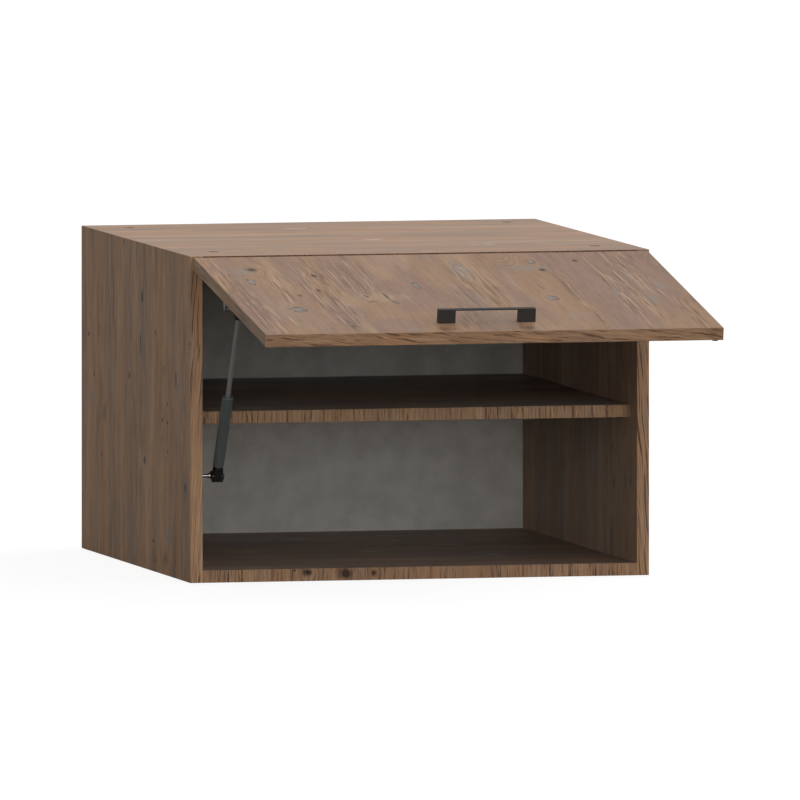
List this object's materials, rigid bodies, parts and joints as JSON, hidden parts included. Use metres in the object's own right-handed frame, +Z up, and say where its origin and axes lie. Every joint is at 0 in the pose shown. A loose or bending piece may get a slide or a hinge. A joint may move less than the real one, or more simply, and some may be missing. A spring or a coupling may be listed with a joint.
{
  "type": "flap door cabinet",
  "caption": "Deep wall cabinet with one lift-up flap door on cup hinges and a gas strut, a shelf, a bridge handle and wood decor boards.",
  "frame": {"origin": "middle of the width, on the rear face of the back panel, at the cabinet's bottom edge", "axes": "+X to the right seen from the front, +Y to the wall, +Z up"},
  "size_m": [0.6, 1.0472, 0.416],
  "materials": {
    "carcass_board": "old wood decor on particle board, satin",
    "flap_board": "old wood decor on particle board, satin",
    "edging": "wood-grained edging strip, satin",
    "back_board": "light grey lacquered fibreboard, matt",
    "cam_cover": "dark cast cam",
    "dowel_wood": "plain beech",
    "hanger_plastic": "light grey moulded plastic",
    "socket_plastic": "black moulded plastic",
    "tube_paint": "dark grey-green paint",
    "rod_steel": "ground steel",
    "seal_rubber": "black rubber",
    "handle_black": "matt black powder coat",
    "bumper_clear": "soft translucent bumper",
    "bracket_steel": "zinc-plated sheet steel",
    "fixing_steel": "zinc-plated steel"
  },
  "bodies": {
    "carcass": {"side_left": "carcass_board", "side_right": "carcass_board", "top_panel": "carcass_board", "bottom_panel": "carcass_board", "shelf": "carcass_board", "back_panel": "back_board", "side_left_edging": "edging", "side_right_edging": "edging", "top_edging": "edging", "bottom_edging": "edging", "shelf_edging": "edging", "top_cams": "cam_cover", "bottom_cams": "cam_cover", "cam_bolts": "fixing_steel", "dowels": "dowel_wood", "shelf_pins": "fixing_steel", "back_screws": "fixing_steel", "hanger_housings": "hanger_plastic", "hanger_hooks": "fixing_steel", "hanger_adjusters": "fixing_steel", "hanger_screws": "fixing_steel", "hinge_plates": "fixing_steel", "hinge_plate_screws": "fixing_steel", "hinge_arms": "fixing_steel", "hinge_arm_screws": "fixing_steel", "strut_side_plate": "fixing_steel", "strut_side_screws": "fixing_steel", "strut_lower_stud": "fixing_steel"},
    "flap": {"flap_panel": "flap_board", "flap_side_edging": "edging", "flap_long_edging": "edging", "hinge_cups": "fixing_steel", "hinge_cup_screws": "fixing_steel", "hinge_pins": "fixing_steel", "strut_flap_bracket": "bracket_steel", "strut_flap_screws": "fixing_steel", "handle": "handle_black", "handle_screws": "fixing_steel", "bumpers": "bumper_clear"},
    "strut_tube": {"strut_lower_socket": "socket_plastic", "strut_tube": "tube_paint", "strut_seal": "seal_rubber"},
    "strut_rod": {"strut_rod": "rod_steel", "strut_piston": "fixing_steel", "strut_upper_socket": "socket_plastic", "strut_upper_stud": "fixing_steel"}
  },
  "joints": [
    {"name": "flap_lift", "type": "hinge", "parent": "carcass", "child": "flap", "pos_m": [0, -0.639, 0.406], "axis": [-1, 0, 0], "range_deg": [-80, 0]},
    {"name": "strut_swing", "type": "hinge", "parent": "carcass", "child": "strut_tube", "pos_m": [-0.2604, -0.6054, 0.135], "axis": [1, 0, 0], "range_deg": [-30, 0]},
    {"name": "strut_stroke", "type": "slide", "parent": "strut_tube", "child": "strut_rod", "axis": [0, -0.507, 0.8619], "range_m": [-0.0905, 0]}
  ],
  "couplings": [
    {"joint": "strut_swing", "follows": "flap_lift", "ratio": 0.37184},
    {"joint": "strut_stroke", "follows": "flap_lift", "m_per_rad": 0.064786}
  ]
}
